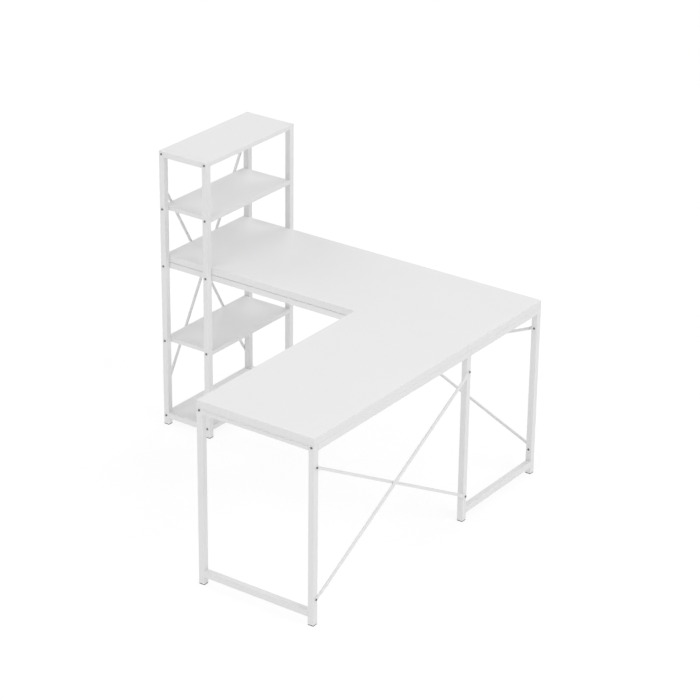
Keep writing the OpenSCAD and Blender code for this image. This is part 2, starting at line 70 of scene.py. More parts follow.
class Nodes:
    """A material's node tree, with short calls for the nodes used here."""

    def __init__(self, name):
        self.material = bpy.data.materials.new(name)
        self.material.use_nodes = True
        self.tree = self.material.node_tree
        self.tree.nodes.clear()
        out = self.tree.nodes.new("ShaderNodeOutputMaterial")
        self.shader = self.tree.nodes.new("ShaderNodeBsdfPrincipled")
        self.tree.links.new(self.shader.outputs["BSDF"], out.inputs["Surface"])
        self.coords = self.tree.nodes.new("ShaderNodeTexCoord").outputs["Object"]

    def put(self, value, socket):
        if isinstance(value, (int, float)):
            socket.default_value = value
        elif isinstance(value, tuple):
            socket.default_value = (*value, 1) if len(socket.default_value) == 4 else value
        else:
            self.tree.links.new(value, socket)

    def stretched(self, scale):
        mapping = self.tree.nodes.new("ShaderNodeMapping")
        self.put(self.coords, mapping.inputs["Vector"])
        mapping.inputs["Scale"].default_value = scale
        return mapping.outputs["Vector"]

    def noise(self, scale, detail=2.0, rough=0.5, vector=None, distortion=0.0):
        n = self.tree.nodes.new("ShaderNodeTexNoise")
        self.put(vector or self.coords, n.inputs["Vector"])
        n.inputs["Scale"].default_value = scale
        n.inputs["Detail"].default_value = detail
        n.inputs["Roughness"].default_value = rough
        n.inputs["Distortion"].default_value = distortion
        return n.outputs["Fac"]

    def cells(self, scale, feature="F1"):
        n = self.tree.nodes.new("ShaderNodeTexVoronoi")
        n.feature = feature
        self.put(self.coords, n.inputs["Vector"])
        n.inputs["Scale"].default_value = scale
        return n.outputs["Distance"]

    def between(self, value, low, high, to_low=0.0, to_high=1.0):
        n = self.tree.nodes.new("ShaderNodeMapRange")
        n.interpolation_type = "SMOOTHSTEP"
        self.put(value, n.inputs["Value"])
        n.inputs["From Min"].default_value = low
        n.inputs["From Max"].default_value = high
        n.inputs["To Min"].default_value = to_low
        n.inputs["To Max"].default_value = to_high
        return n.outputs["Result"]

    def math(self, operation, a, b=0.0):
        n = self.tree.nodes.new("ShaderNodeMath")
        n.operation = operation
        self.put(a, n.inputs[0])
        self.put(b, n.inputs[1])
        return n.outputs["Value"]

    def mix(self, factor, a, b):
        n = self.tree.nodes.new("ShaderNodeMix")
        n.data_type = "RGBA"
        self.put(factor, n.inputs["Factor"])
        for value, socket in ((a, n.inputs[6]), (b, n.inputs[7])):
            self.put(value, socket)
        return n.outputs[2]

    def edges(self, radius, low, high):
        """1 on the convex and concave edges of the shape, 0 on its flats."""
        n = self.tree.nodes.new("ShaderNodeBevel")
        n.samples = 6
        n.inputs["Radius"].default_value = radius
        flat = self.tree.nodes.new("ShaderNodeNewGeometry").outputs["Normal"]
        dot = self.tree.nodes.new("ShaderNodeVectorMath")
        dot.operation = "DOT_PRODUCT"
        self.put(n.outputs["Normal"], dot.inputs[0])
        self.put(flat, dot.inputs[1])
        return self.between(dot.outputs["Value"], high, low)

    def bump(self, *layers):
        """Layers of (height, distance in metres), laid on each other."""
        normal = None
        for height, distance in layers:
            n = self.tree.nodes.new("ShaderNodeBump")
            n.inputs["Strength"].default_value = 1.0
            n.inputs["Distance"].default_value = distance
            self.put(height, n.inputs["Height"])
            if normal is not None:
                self.put(normal, n.inputs["Normal"])
            normal = n.outputs["Normal"]
        self.put(normal, self.shader.inputs["Normal"])

    def finish(self, color, roughness, metallic=0.0, specular=0.5):
        self.put(color, self.shader.inputs["Base Color"])
        self.put(roughness, self.shader.inputs["Roughness"])
        self.shader.inputs["Metallic"].default_value = metallic
        self.shader.inputs["Specular IOR Level"].default_value = specular
        return self.material


def gray(v, tint=0.0):
    return (v * (1 + tint), v, v * (1 - tint))


def powder_coat(name, level):
    """White powder coat: orange peel, faint clouds and specks, edges where the coat is thin."""
    m = Nodes(name)
    cloud = m.between(m.noise(4.5, 3, 0.6), 0.3, 0.7)
    color = m.mix(cloud, gray(level * 0.993, 0.001), gray(level * 1.006, 0.0))
    speck = m.between(m.noise(950, 1, 0.4), 0.69, 0.76)
    color = m.mix(m.math("MULTIPLY", speck, 0.3), color, gray(level * 0.76, 0.01))
    thin = m.math("MULTIPLY", m.edges(0.0012, 0.80, 0.97), m.between(m.noise(65, 4, 0.7), 0.42, 0.72))
    color = m.mix(m.math("MULTIPLY", thin, 0.3), color, gray(level * 0.86, 0.004))
    peel = m.noise(430, 2, 0.55)
    grit = m.noise(2100, 1, 0.5)
    m.bump((m.noise(16, 2, 0.5), 0.00008), (peel, 0.00005), (grit, 0.000010))
    rough = m.between(m.noise(38, 3, 0.6), 0.25, 0.75, 0.36, 0.47)
    rough = m.math("SUBTRACT", rough, m.math("MULTIPLY", thin, 0.08))
    return m.finish(color, rough, specular=0.45)


def laminate(name, level):
    """White melamine: a fine pearl emboss, faint clouds, and hand marks that only show in the gloss."""
    m = Nodes(name)
    cloud = m.between(m.noise(2.4, 4, 0.6), 0.28, 0.72)
    color = m.mix(cloud, gray(level * 0.994, 0.001), gray(level * 1.005, 0.0))
    fleck = m.between(m.noise(1400, 2, 0.6), 0.60, 0.74)
    color = m.mix(m.math("MULTIPLY", fleck, 0.16), color, gray(level * 0.86, 0.006))
    pore = m.cells(620)
    m.bump((m.noise(5, 2, 0.5), 0.00012), (pore, 0.000014), (m.noise(2600, 1, 0.5), 0.000010))
    marks = m.between(m.noise(7, 5, 0.7, distortion=0.6), 0.35, 0.75, 0.0, 0.05)
    rough = m.math("ADD", m.between(m.noise(520, 2, 0.5), 0.3, 0.7, 0.40, 0.47), marks)
    return m.finish(color, rough, specular=0.42)


def edge_band(name, level):
    """The plastic band round a board: fine marks along its length, trimmed edges a little duller."""
    m = Nodes(name)
    streak = m.noise(34, 4, 0.6, vector=m.stretched((1.0, 1.0, 60.0)))
    color = m.mix(m.between(streak, 0.3, 0.7), gray(level * 0.990, 0.002), gray(level * 1.004, 0.0))
    fleck = m.between(m.noise(1500, 2, 0.6), 0.62, 0.76)
    color = m.mix(m.math("MULTIPLY", fleck, 0.15), color, gray(level * 0.86, 0.006))
    trim = m.math("MULTIPLY", m.edges(0.0010, 0.82, 0.98), m.between(m.noise(48, 3, 0.7), 0.35, 0.75))
    color = m.mix(m.math("MULTIPLY", trim, 0.4), color, gray(level * 0.93, 0.0))
    m.bump((streak, 0.00003), (m.noise(1900, 1, 0.5), 0.000010))
    rough = m.between(m.noise(60, 3, 0.6), 0.3, 0.7, 0.34, 0.44)
    rough = m.math("ADD", rough, m.math("MULTIPLY", trim, 0.08))
    return m.finish(color, rough, specular=0.42)


def white_plastic(name, level):
    """Moulded white plastic: spark-eroded grain and soft clouds."""
    m = Nodes(name)
    cloud = m.between(m.noise(22, 3, 0.6), 0.3, 0.7)
    color = m.mix(cloud, gray(level * 0.982, 0.004), gray(level * 1.008, 0.001))
    rub = m.math("MULTIPLY", m.edges(0.0008, 0.82, 0.98), m.between(m.noise(90, 3, 0.7), 0.4, 0.75))
    color = m.mix(m.math("MULTIPLY", rub, 0.4), color, gray(level * 0.9, 0.004))
    m.bump((m.noise(1300, 2, 0.6), 0.00003), (m.noise(120, 2, 0.5), 0.00003))
    return m.finish(color, m.between(m.noise(150, 3, 0.6), 0.3, 0.7, 0.38, 0.52), specular=0.42)


def black_plastic(name):
    """Moulded black plastic: a pebbled grain, patches of thin dust, rubbed on its edges."""
    m = Nodes(name)
    grain = m.cells(1100)
    color = m.mix(m.between(m.noise(120, 4, 0.6), 0.3, 0.7), (0.012, 0.012, 0.013), (0.026, 0.026, 0.027))
    dust = m.between(m.noise(420, 3, 0.6), 0.58, 0.80)
    color = m.mix(m.math("MULTIPLY", dust, 0.15), color, (0.07, 0.069, 0.066))
    rub = m.math("MULTIPLY", m.edges(0.0007, 0.80, 0.98), m.between(m.noise(210, 3, 0.7), 0.4, 0.7))
    color = m.mix(m.math("MULTIPLY", rub, 0.5), color, (0.045, 0.045, 0.046))
    m.bump((grain, 0.00007), (m.noise(3000, 1, 0.5), 0.00001))
    rough = m.between(m.noise(260, 3, 0.6), 0.3, 0.7, 0.46, 0.64)
    return m.finish(color, m.math("SUBTRACT", rough, m.math("MULTIPLY", rub, 0.12)), specular=0.2)


def black_oxide(name):
    """Blackened steel: an even dark skin with a fine grain, lighter where it is worn on the edges."""
    m = Nodes(name)
    color = m.mix(m.between(m.noise(340, 4, 0.6), 0.3, 0.7), (0.165, 0.165, 0.169), (0.240, 0.239, 0.241))
    worn = m.math("MULTIPLY", m.edges(0.0005, 0.78, 0.97), m.between(m.noise(520, 3, 0.7), 0.45, 0.72))
    color = m.mix(m.math("MULTIPLY", worn, 0.6), color, (0.36, 0.355, 0.35))
    m.bump((m.noise(1700, 3, 0.6), 0.00003), (m.noise(260, 2, 0.5), 0.00003))
    rough = m.between(m.noise(420, 3, 0.6), 0.3, 0.7, 0.34, 0.52)
    return m.finish(color, m.math("SUBTRACT", rough, m.math("MULTIPLY", worn, 0.1)), metallic=0.6)


def zinc_plate(name):
    """Zinc plated steel: spangled greys, a fine turned grain and duller patches."""
    m = Nodes(name)
    spangle = m.between(m.cells(900), 0.1, 0.7)
    color = m.mix(spangle, (0.46, 0.47, 0.49), (0.66, 0.665, 0.67))
    dull = m.between(m.noise(180, 4, 0.65), 0.48, 0.74)
    color = m.mix(m.math("MULTIPLY", dull, 0.5), color, (0.42, 0.41, 0.38))
    m.bump((m.noise(900, 3, 0.6), 0.00003), (m.noise(3200, 1, 0.5), 0.00001))
    return m.finish(color, m.between(m.noise(300, 3, 0.6), 0.3, 0.7, 0.26, 0.46), metallic=1.0)


def beech(name):
    """Bare beech with its grain along the dowels, which lie along Y."""
    m = Nodes(name)
    fibre = m.noise(900, 4, 0.6, vector=m.stretched((1.0, 0.04, 1.0)))
    color = m.mix(m.between(fibre, 0.3, 0.7), (0.60, 0.40, 0.23), (0.76, 0.57, 0.37))
    fleck = m.between(m.noise(1500, 2, 0.6, vector=m.stretched((1.0, 0.22, 1.0))), 0.60, 0.72)
    color = m.mix(m.math("MULTIPLY", fleck, 0.6), color, (0.42, 0.25, 0.13))
    m.bump((fibre, 0.00012))
    return m.finish(color, m.between(fibre, 0.3, 0.7, 0.52, 0.68), specular=0.35)


def foam(name):
    """Closed-cell foam, light grey: small darker pores, softly uneven."""
    m = Nodes(name)
    pores = m.between(m.cells(1600), 0.12, 0.42)
    color = m.mix(m.between(m.noise(90, 3, 0.6), 0.3, 0.7), (0.56, 0.56, 0.555), (0.64, 0.64, 0.63))
    color = m.mix(m.math("SUBTRACT", 1.0, pores), color, (0.36, 0.36, 0.355))
    m.bump((pores, 0.00008), (m.noise(60, 2, 0.5), 0.00012))
    return m.finish(color, m.between(m.noise(200, 3, 0.6), 0.3, 0.7, 0.82, 0.95), specular=0.25)


WHITE = 0.80
steel_white = powder_coat("white powder coat", WHITE)
top_white = laminate("white laminate", WHITE)
band_white = edge_band("white edge band", WHITE)
cap_white = white_plastic("white moulded plastic", WHITE)
plastic_black = black_plastic("black moulded plastic")
steel_black = black_oxide("black oxide steel")
steel_zinc = zinc_plate("zinc plated steel")
wood_beech = beech("bare beech")
foam_grey = foam("grey foam")

SLOT_MATERIALS = {
    "white_laminate": top_white,
    "beech": wood_beech,
    "white_steel": steel_white,
    "white_plastic": cap_white,
    "black_steel": steel_black,
    "zinc_steel": steel_zinc,
    "black_plastic": plastic_black,
    "grey_foam": foam_grey,
}
NODE_SLOT = {s["node"]: s["material_slot"] for s in frame["record"]["subparts"]}


# ---------------------------------------------------------------- mesh helpers

TOUCHING = 0.0001  # what is nearer than this is on the line


def piece(name, bm, materials, body, node=None, smooth_angle=40):
    """A finished mesh object that rides on a body and stands for a CAD node, if one is named."""
    bmesh.ops.recalc_face_normals(bm, faces=bm.faces)
    mesh = bpy.data.meshes.new(name)
    for f in bm.faces:
        f.smooth = True
    bm.to_mesh(mesh)
    bm.free()
    mesh.set_sharp_from_angle(angle=math.radians(smooth_angle))
    for m in materials:
        mesh.materials.append(m)
    obj = bpy.data.objects.new(name, mesh)
    bpy.context.scene.collection.objects.link(obj)
    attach(obj, body)
    if node:
        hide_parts(node)
    return obj


def islands(node):
    """The vertices of each separate solid of a CAD node, in the row frame."""
    mesh = frame["nodes"][node].data
    at = {}
    ids = [at.setdefault(tuple(round(c, 6) for c in v.co), len(at)) for v in mesh.vertices]
    root = list(range(len(at)))

    def top(i):
        while root[i] != i:
            root[i] = root[root[i]]
            i = root[i]
        return i

    for e in mesh.edges:
        a, b = top(ids[e.vertices[0]]), top(ids[e.vertices[1]])
        if a != b:
            root[a] = b
    groups = {}
    for co, i in at.items():
        groups.setdefault(top(i), []).append(Vector(co))
    return [groups[k] for k in sorted(groups, key=lambda k: tuple(groups[k][0]))]


def corners(points):
    """The low and the high corner of the box round some points."""
    low = Vector([min(p[i] for p in points) for i in range(3)])
    high = Vector([max(p[i] for p in points) for i in range(3)])
    return low, high


def skin(bm, rings, close_ends=True, material=0):
    """Quads between rings of points, each ring closed, with flat ends."""
    loops = [[bm.verts.new(p) for p in ring] for ring in rings]
    n = len(loops[0])
    for a, b in zip(loops, loops[1:]):
        for i in range(n):
            f = bm.faces.new((a[i], a[(i + 1) % n], b[(i + 1) % n], b[i]))
            f.material_index = material
    if close_ends:
        bm.faces.new(loops[0][::-1]).material_index = material
        bm.faces.new(loops[-1]).material_index = material


def around(n):
    """The angles of n equal steps of a full turn."""
    return [2 * math.pi * k / n for k in range(n)]


def quarter(n):
    """The angles of n equal steps from 0 to a right angle, both ends included."""
    return [math.radians(90 * k / n) for k in range(n + 1)]


def circle(r, z, n):
    """n points round the Z axis."""
    return [Vector((r * math.cos(t), r * math.sin(t), z)) for t in around(n)]


def hexagon_r(angle, flat_r):
    """How far out a hexagon's outline is at an angle; flat_r is the radius to the middle of its sides."""
    return flat_r / math.cos((angle % (math.pi / 3)) - math.pi / 6)


def square_outline(w, d, r, steps=5):
    """A rectangle with rounded corners, centred, as (x, y, outward x, outward y)."""
    points = []
    for sx, sy, start in ((1, 1, 0), (-1, 1, 90), (-1, -1, 180), (1, -1, 270)):
        for k in range(steps + 1):
            a = math.radians(start + 90 * k / steps)
            c, s = math.cos(a), math.sin(a)
            points.append((sx * (w / 2 - r) + r * c, sy * (d / 2 - r) + r * s, c, s))
    return points


def along(direction):
    """A matrix whose Z is the given direction."""
    return direction.to_track_quat("Z", "Y").to_matrix().to_4x4()


# ---------------------------------------------------------------- boards

OUTLINE_R = 0.002  # a board's corners, seen from above
TOP_ARRIS, SHELF_ARRIS, TIGHT_ARRIS = 0.0009, 0.0008, 0.0001


def with_break(outline, x, y, half_gap=0.0015, shortest=0.02):
    """The outline with two more points on the straight side through x, y: just before and just after it."""
    result = []
    for (x0, y0, *outward), (x1, y1, *_) in zip(outline, outline[1:] + outline[:1]):
        result.append((x0, y0, *outward))
        length = math.hypot(x1 - x0, y1 - y0)
        if length <= shortest:
            continue
        t = ((x - x0) * (x1 - x0) + (y - y0) * (y1 - y0)) / length ** 2
        off = abs((x - x0) * (y1 - y0) - (y - y0) * (x1 - x0)) / length
        if 0 < t < 1 and off < TOUCHING:
            for u in (t - half_gap / length, t + half_gap / length):
                result.append((x0 + u * (x1 - x0), y0 + u * (y1 - y0), *outward))
    return result


def board(name, node, arris, butts=None, break_at=None):
    """A slab that fills its CAD node's box: laminate faces, edge bands, softened arrises.
    butts(point, outward) is true where the board meets a neighbour and its arris stays crisp, and
    break_at is the point on its outline where such a stretch starts, if that isn't a corner."""
    low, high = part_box(node)
    centre, size = (low + high) / 2, high - low
    outline = square_outline(size.x, size.y, OUTLINE_R)
    if break_at:
        outline = with_break(outline, break_at[0] - centre.x, break_at[1] - centre.y)
    curve = [(1 - math.sin(a), 1 - math.cos(a)) for a in quarter(3)]
    levels = [(low.z, inset, height) for inset, height in curve]
    levels += [(high.z, inset, -height) for inset, height in reversed(curve)]
    rings = []
    for face_z, inset, height in levels:
        ring = []
        for x, y, out_x, out_y in outline:
            tight = butts and butts(Vector((x + centre.x, y + centre.y)), Vector((out_x, out_y)))
            r = TIGHT_ARRIS if tight else arris
            ring.append(Vector((x + centre.x - out_x * inset * r, y + centre.y - out_y * inset * r,
                                face_z + height * r)))
        rings.append(ring)
    bm = bmesh.new()
    skin(bm, rings, material=1)
    for f in bm.faces:
        if len(f.verts) > 4:  # the two laminate faces
            f.material_index = 0
    obj = piece(name, bm, [top_white, band_white], "frame", node, smooth_angle=89)
    obj.modifiers.new("normals", "WEIGHTED_NORMAL").keep_sharp = True
    return obj


def tops():
    """The two desk tops, crisp along the seam where they butt."""
    main_low, return_low, return_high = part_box("main_top")[0], *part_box("return_top")
    board("main_top_board", "main_top", TOP_ARRIS, break_at=(return_low.x, main_low.y),
          butts=lambda p, out: abs(p.y - main_low.y) < TOUCHING and p.x > return_low.x)
    board("return_top_board", "return_top", TOP_ARRIS,
          butts=lambda p, out: abs(p.y - return_high.y) < TOUCHING)


def tower_boards():
    """The tower's top, crisp at the two ends that meet the rails, and its shelves."""
    board("tower_top_panel", "tower_top_board", SHELF_ARRIS, butts=lambda p, out: abs(out.y) > 0.9)
    for node in ("upper_shelf", "lower_shelf", "bottom_shelf"):
        board(node + "_panel", node, SHELF_ARRIS)


tops()
tower_boards()


# ---------------------------------------------------------------- T-shaped bar and foam strips

def softened(corner_points, r):
    """A closed outline of (y, z) corners, each one rounded with three points over the length r."""
    outline = []
    n = len(corner_points)
    for i, here in enumerate(corner_points):
        before = (corner_points[i - 1] - here).normalized() * r
        after = (corner_points[(i + 1) % n] - here).normalized() * r
        outline += [here + before, here + (before + after) * 0.3, here + after]
    return outline


def t_bar(name, node, r=0.0004):
    """The bar under the end of the return: a flange that carries the top, on a web over the rail."""
    low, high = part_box(node)
    points = islands(node)[0]
    web = [p.y for p in points if p.z < low.z + TOUCHING]
    flange_z = min(p.z for p in points if p.y < low.y + TOUCHING)
    profile = softened([Vector(c) for c in (
        (min(web), low.z), (max(web), low.z), (max(web), flange_z), (high.y, flange_z),
        (high.y, high.z), (low.y, high.z), (low.y, flange_z), (min(web), flange_z))], r)
    bm = bmesh.new()
    skin(bm, [[Vector((x, y, z)) for y, z in profile] for x in (low.x, high.x)])
    return piece(name, bm, [steel_white], "frame", node, smooth_angle=50)


def foam_strips(name, node, r=0.0005, spacing=0.02, squeeze=0.0003):
    """Foam strips along X with rounded corners, their sides squeezed in unevenly."""
    bm = bmesh.new()
    for points in islands(node):
        low, high = corners(points)
        mid, size = (low + high) / 2, high - low
        cuts = round(size.x / spacing)
        rings = []
        for k in range(cuts + 1):
            inward = squeeze + squeeze * random.random()
            ring = []
            for y, z, out_y, _ in square_outline(size.y, size.z, r, 4):
                if abs(out_y) > 0.7:
                    y -= math.copysign(inward, out_y)
                ring.append(Vector((low.x + size.x * k / cuts, mid.y + y, mid.z + z)))
            rings.append(ring)
        skin(bm, rings)
    return piece(name, bm, [foam_grey], "frame", node, smooth_angle=50)


t_bar("end_top_t_bar", "end_top_bar")
foam_strips("main_rail_foam_strips", "main_rail_strips")


# ---------------------------------------------------------------- cross braces

ROD_D, FLAT_W, FLAT_T, FLAT_LEN, TAPER = 0.012, 0.015, 0.003, 0.022, 0.014
TOWER_ROD_GAP = 0.0005  # between the tower's posts and the round part of its rods


def smooth(t):
    """A soft step from 0 to 1."""
    t = min(1.0, max(0.0, t))
    return t * t * (3 - 2 * t)


def rod_stations(length, flats, spans=24, end_steps=12, taper_steps=14):
    """How far along the rod its rings are: evenly, and closer at its rounded ends and its tapers."""
    stations = {length * k / spans for k in range(1, spans)}
    for a in quarter(end_steps):
        reach = FLAT_W / 2 * math.cos(a)
        stations |= {-reach, length + reach}
    for place, _ in flats:
        for k in range(taper_steps + 1):
            reach = FLAT_LEN - 0.002 + (TAPER + 0.004) * k / taper_steps
            stations |= {s for s in (place * length - reach, place * length + reach) if 0 < s < length}
    return sorted(stations)


def rod_press(s, length, flats):
    """How flat the rod is at s, from 0 to 1, and how far out of its axis it is pressed."""
    pressed, shift = 0.0, 0.0
    for place, flat_shift in flats:
        far = abs(s - place * length)
        if far < FLAT_LEN + TAPER:
            pressed = 1 - smooth((far - FLAT_LEN) / TAPER)
            shift = flat_shift * pressed
    return pressed, shift


def rod_section(pressed, past_bolt):
    """The rod's cross section as (sideways, outward): from a circle to a flat bar with soft edges. Past its
    end bolts, by the distance given, the flat is rounded off."""
    half_w = ROD_D / 2 + (FLAT_W - ROD_D) / 2 * pressed
    half_t = ROD_D / 2 + (FLAT_T - ROD_D) / 2 * pressed
    if past_bolt > 0:
        half_w = max(0.0004, math.sqrt(max(0.0, (FLAT_W / 2) ** 2 - past_bolt ** 2)))
        half_t = min(half_t, half_w + 0.0006)
    section = []
    for a in around(36):
        c, d = math.cos(a), math.sin(a)
        wide = max(-1.0, min(1.0, 1.5 * c))
        thick = max(-1.0, min(1.0, 1.3 * d))
        w = (half_w - half_t) * wide + half_t * c if half_w > half_t else half_w * c
        section.append((w, half_t * (d * (1 - pressed) + thick * pressed)))
    return section


def brace(name, node, start, end, out, flats):
    """A round tube pressed flat round its bolts. start and end are points on its axis opposite its end
    bolts, out points to the outer side of the frame, and flats are pairs: how far along the rod, from 0 to 1,
    and how far out of its axis."""
    length = (end - start).length
    axis = (end - start) / length
    side = axis.cross(out)
    rings = []
    for s in rod_stations(length, flats):
        pressed, shift = rod_press(s, length, flats)
        section = rod_section(pressed, max(-s, s - length))
        rings.append([start + axis * s + side * w + out * (h + shift) for w, h in section])
    bm = bmesh.new()
    skin(bm, rings)
    return piece(name, bm, [steel_white], "frame", node, smooth_angle=50)


def bolt_heights(low, high, rising):
    """The heights of a rod's two end bolts, from those of its box."""
    heights = (low.z + FLAT_W / 2, high.z - FLAT_W / 2)
    return heights if rising else heights[::-1]


def desk_brace(name, node, run, first_flat, last_flat, outer, rising):
    """One of the rods that pass each other. `run` is the axis it runs along (0 or 1), and the flats are
    where the middles of its two flat ends are on the other one."""
    across = 1 - run
    low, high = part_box(node)
    axis_at = high[across] - ROD_D / 2 if outer else low[across] + ROD_D / 2
    ends = []
    for at_run, at_z in zip((low[run] + FLAT_W / 2, high[run] - FLAT_W / 2), bolt_heights(low, high, rising)):
        end = Vector((0, 0, at_z))
        end[run], end[across] = at_run, axis_at
        ends.append(end)
    brace(name, node, *ends, (Y, X)[run], ((0, first_flat - axis_at), (1, last_flat - axis_at)))


def tower_brace(name, node, mid_shift, rising):
    """One of the rods on the tower's outer side, pressed flat at its crossing too."""
    low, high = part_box(node)
    axis_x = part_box("tower_front_left_post")[0].x - ROD_D / 2 - TOWER_ROD_GAP
    first, last = bolt_heights(low, high, rising)
    end_shift = FLAT_T / 2 - ROD_D / 2 - TOWER_ROD_GAP
    start = Vector((axis_x, low.y + FLAT_W / 2, first))
    end = Vector((axis_x, high.y - FLAT_W / 2, last))
    brace(name, node, start, end, -X, ((0, end_shift), (0.5, mid_shift), (1, end_shift)))


def braces():
    """Three crossed pairs. The back pair's flats are on the front of the post and the back of the leg."""
    on_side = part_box("middle_leg")[1].x + FLAT_T / 2
    on_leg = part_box("corner_leg")[1].y + FLAT_T / 2
    on_post = on_leg - FLAT_T
    desk_brace("return_brace_rod_a", "return_brace_outer", 1, on_side, on_side, outer=True, rising=True)
    desk_brace("return_brace_rod_b", "return_brace_inner", 1, on_side, on_side, outer=False, rising=False)
    desk_brace("back_brace_rod_a", "back_brace_outer", 0, on_post, on_leg, outer=True, rising=False)
    desk_brace("back_brace_rod_b", "back_brace_inner", 0, on_post, on_leg, outer=False, rising=True)
    tower_brace("tower_brace_rod_a", "tower_brace_outer", FLAT_T / 2, rising=True)
    tower_brace("tower_brace_rod_b", "tower_brace_inner", -FLAT_T / 2, rising=False)


braces()


# ---------------------------------------------------------------- bolts, nuts and screws

HEAD_H, SHANK_R, SOCKET_R = 0.0030, 0.0030, 0.0022
HEAD_RIM, HEAD_LAND_R = 0.0006, 0.0028  # the head's straight rim, and the flat round its socket
BOLT_SIDES = 42
NUT_FLAT_R, NUT_CORNER_R, NUT_FACE_R = 0.0050, 0.0060, 0.0050
NUT_CHAMFER, NUT_SINK = 0.0007, 0.0005
NUT_BORE_R, NUT_SINK_R, NUT_SIDES = 0.00305, 0.0035, 48
SCREW_HEAD_H, SCREW_HEAD_R, SCREW_CORE, SCREW_CREST = 0.0024, 0.0040, 0.00145, 0.00195
SCREW_PITCH, SCREW_POINT, SCREW_SIDES = 0.0016, 0.0040, 30


def bolt_pose(points):
    """One bolt's seat point, the direction and the length of its shank, and its head's radius."""
    low, high = corners(points)
    size = high - low
    run = max(range(3), key=lambda i: size[i])
    others = [i for i in range(3) if i != run]
    mid = (low + high) / 2

    def radius(p):
        return math.hypot(*(p[i] - mid[i] for i in others))

    widest = {end: max([radius(p) for p in points if (p[run] < mid[run]) == (end < 0)], default=0.0)
              for end in (-1, 1)}
    head_end = 1 if widest[1] > widest[-1] else -1
    head = [p for p in points if radius(p) > 0.95 * widest[head_end]]
    tip = low[run] if head_end == 1 else high[run]
    seat = mid.copy()
    seat[run] = min((p[run] for p in head), key=lambda v: abs(v - tip))
    direction = Vector((0, 0, 0))
    direction[run] = -head_end
    return seat, direction, abs(tip - seat[run]), widest[head_end]


def add_bolt(bm, seat, direction, length, head_r):
    """A button head bolt: domed head with a hexagon socket, turned shank with a chamfered tip."""
    spin = Matrix.Rotation(random.uniform(0, math.pi / 3), 4, "Z")
    turn = Matrix.Translation(seat) @ along(direction) @ spin
    profile = [(SHANK_R - 0.0006, length), (SHANK_R - 0.0001, length - 0.0006), (SHANK_R, length - 0.0008),
               (SHANK_R, 0.0003), (SHANK_R + 0.0003, 0.0), (head_r - 0.0002, 0.0), (head_r, -0.0002)]
    for a in quarter(8):
        profile.append((HEAD_LAND_R + (head_r - HEAD_LAND_R) * math.cos(a),
                        -HEAD_RIM - (HEAD_H - HEAD_RIM) * math.sin(a)))
    rings = [circle(r, z, BOLT_SIDES) for r, z in profile]
    for grow, depth in ((1.12, 0.0), (1.0, 0.0002), (1.0, 0.0018), (0.05, 0.0022)):
        ring = []
        for a in around(BOLT_SIDES):
            r = hexagon_r(a, SOCKET_R * math.cos(math.pi / 6)) * grow
            ring.append(Vector((r * math.cos(a), r * math.sin(a), depth - HEAD_H)))
        rings.append(ring)
    skin(bm, [[turn @ p for p in ring] for ring in rings])


def bolts(name, node):
    bm = bmesh.new()
    for points in islands(node):
        add_bolt(bm, *bolt_pose(points))
    return piece(name, bm, [steel_black], "frame", node, smooth_angle=35)


def corner_angle(points, turn):
    """The angle about a nut's axis at which the CAD solid has one of its corners."""
    back = turn.inverted()
    far = max((back @ p for p in points), key=lambda p: p.x ** 2 + p.y ** 2)
    return math.atan2(far.y, far.x)


def nuts(name, node):
    """Hexagon nuts with chamfered corners and a countersunk thread."""
    bm = bmesh.new()
    for points in islands(node):
        low, high = corners(points)
        size = high - low
        run = min(range(3), key=lambda i: size[i])
        direction = Vector((0, 0, 0))
        direction[run] = 1
        thick = size[run]
        base = (low + high) / 2
        base[run] = low[run]
        turn = Matrix.Translation(base) @ along(direction)
        turn = turn @ Matrix.Rotation(corner_angle(points, turn), 4, "Z")
        rings = []
        for z, cap in ((0.0, NUT_FACE_R), (NUT_CHAMFER, NUT_CORNER_R),
                       (thick - NUT_CHAMFER, NUT_CORNER_R), (thick, NUT_FACE_R)):
            ring = []
            for a in around(NUT_SIDES):
                r = min(hexagon_r(a, NUT_FLAT_R), cap)
                ring.append(Vector((r * math.cos(a), r * math.sin(a), z)))
            rings.append(ring)
        for r, z in ((NUT_SINK_R, thick), (NUT_BORE_R, thick - NUT_SINK),
                     (NUT_BORE_R, NUT_SINK), (NUT_SINK_R, 0.0)):
            rings.append(circle(r, z, NUT_SIDES))
        rings = [[turn @ p for p in ring] for ring in rings]
        skin(bm, rings + [rings[0]], close_ends=False)
        bmesh.ops.remove_doubles(bm, verts=bm.verts, dist=1e-7)
    return piece(name, bm, [steel_black], "frame", node, smooth_angle=35)


def thread_ring(z):
    """A ring of the screw's coarse thread."""
    ring = []
    for t in around(SCREW_SIDES):
        phase = (z / SCREW_PITCH - t / (2 * math.pi)) % 1.0
        ridge = max(0.0, 1 - abs(phase - 0.5) * 3.2)
        r = SCREW_CORE + (SCREW_CREST - SCREW_CORE) * ridge
        ring.append(Vector((r * math.cos(t), r * math.sin(t), z)))
    return ring


